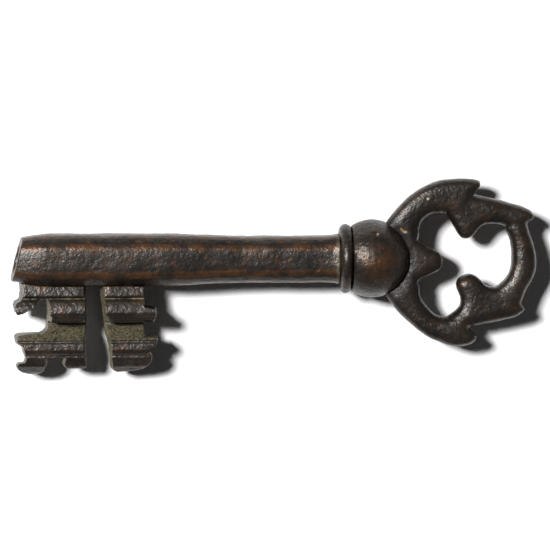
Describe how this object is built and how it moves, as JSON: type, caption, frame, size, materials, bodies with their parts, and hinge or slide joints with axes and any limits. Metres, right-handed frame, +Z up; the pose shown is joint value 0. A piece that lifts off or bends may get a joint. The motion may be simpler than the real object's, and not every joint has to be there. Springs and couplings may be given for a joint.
{
  "type": "door key",
  "caption": "Bronze door key with a faceted hollow barrel, a cleft bit of waved section with ward cuts, a ring collar, a ball knop and a barbed trefoil bow.",
  "frame": {"origin": "under the middle of the key's bounding box, on the surface that the knop lies on", "axes": "+X along the barrel from its mouth to the bow, the bit hangs towards -Y, +Z up through the bow's opening"},
  "size_m": [0.1252, 0.0464, 0.0185],
  "materials": {
    "bronze": "cast bronze with a dark brown, finely pitted patina, semi-gloss",
    "worn_bronze": "cast bronze rubbed to a red brown by handling, semi-gloss",
    "crusted_bronze": "filed bronze with an olive and tan crust in the recesses, satin"
  },
  "bodies": {
    "root": {"barrel": "bronze", "bit_fore_lobe": "crusted_bronze", "bit_aft_lobe": "crusted_bronze", "collar": "bronze", "knop": "worn_bronze", "bow": "bronze"}
  },
  "joints": []
}
